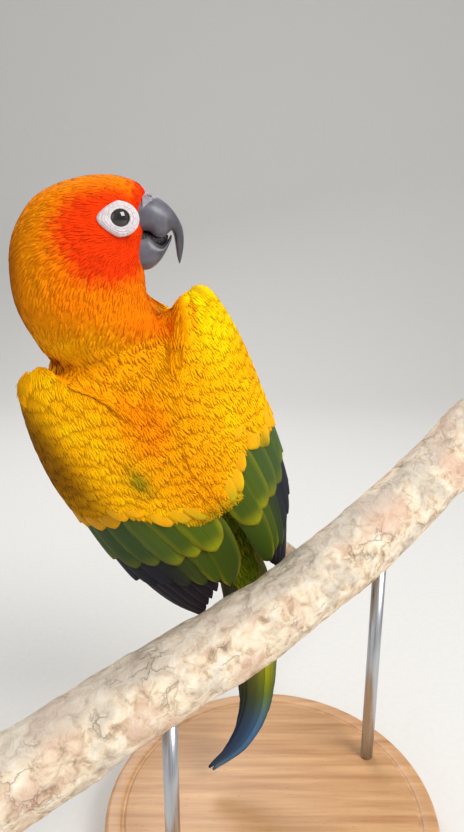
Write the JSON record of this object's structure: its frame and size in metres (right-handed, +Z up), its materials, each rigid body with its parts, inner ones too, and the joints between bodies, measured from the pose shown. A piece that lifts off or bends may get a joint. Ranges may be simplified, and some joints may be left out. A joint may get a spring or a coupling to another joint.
{
  "type": "sun conure display model",
  "caption": "Life-size still model of a sun conure seen from behind, head turned to its right, clinging to a cut branch held by two rods on a round base.",
  "frame": {"origin": "middle of the round base's underside, on the surface that the model stands on", "axes": "+Z up; +Y away from the picture's viewer; +X to the viewer's right; the bird's back is turned to -Y"},
  "size_m": [0.2238, 0.1666, 0.2805],
  "materials": {
    "head_plumage": "soft matt feathers, orange red about the eye",
    "neck_plumage": "soft matt feathers, orange gold",
    "body_plumage": "soft matt feathers, orange and gold",
    "wing_plumage": "feather vanes, yellow over green and blue-black flights",
    "tail_plumage": "feather vanes, olive green with blue towards the tip",
    "bill": "satin grey horn",
    "eye": "wet gloss, dark brown",
    "foot_skin": "scaled grey skin",
    "bark": "rough pale bark",
    "base_wood": "satin varnished beech",
    "rod_steel": "brushed steel"
  },
  "bodies": {
    "root": {"head": "head_plumage", "neck": "neck_plumage", "torso": "body_plumage", "tail": "tail_plumage", "wing_left": "wing_plumage", "wing_right": "wing_plumage", "thigh_left": "body_plumage", "thigh_right": "body_plumage", "upper_bill": "bill", "lower_bill": "bill", "eye_left": "eye", "eye_right": "eye", "foot_left": "foot_skin", "foot_right": "foot_skin", "perch_branch": "bark", "perch_limb": "bark", "stand_base": "base_wood", "stand_rod_left": "rod_steel", "stand_rod_right": "rod_steel"}
  },
  "joints": []
}
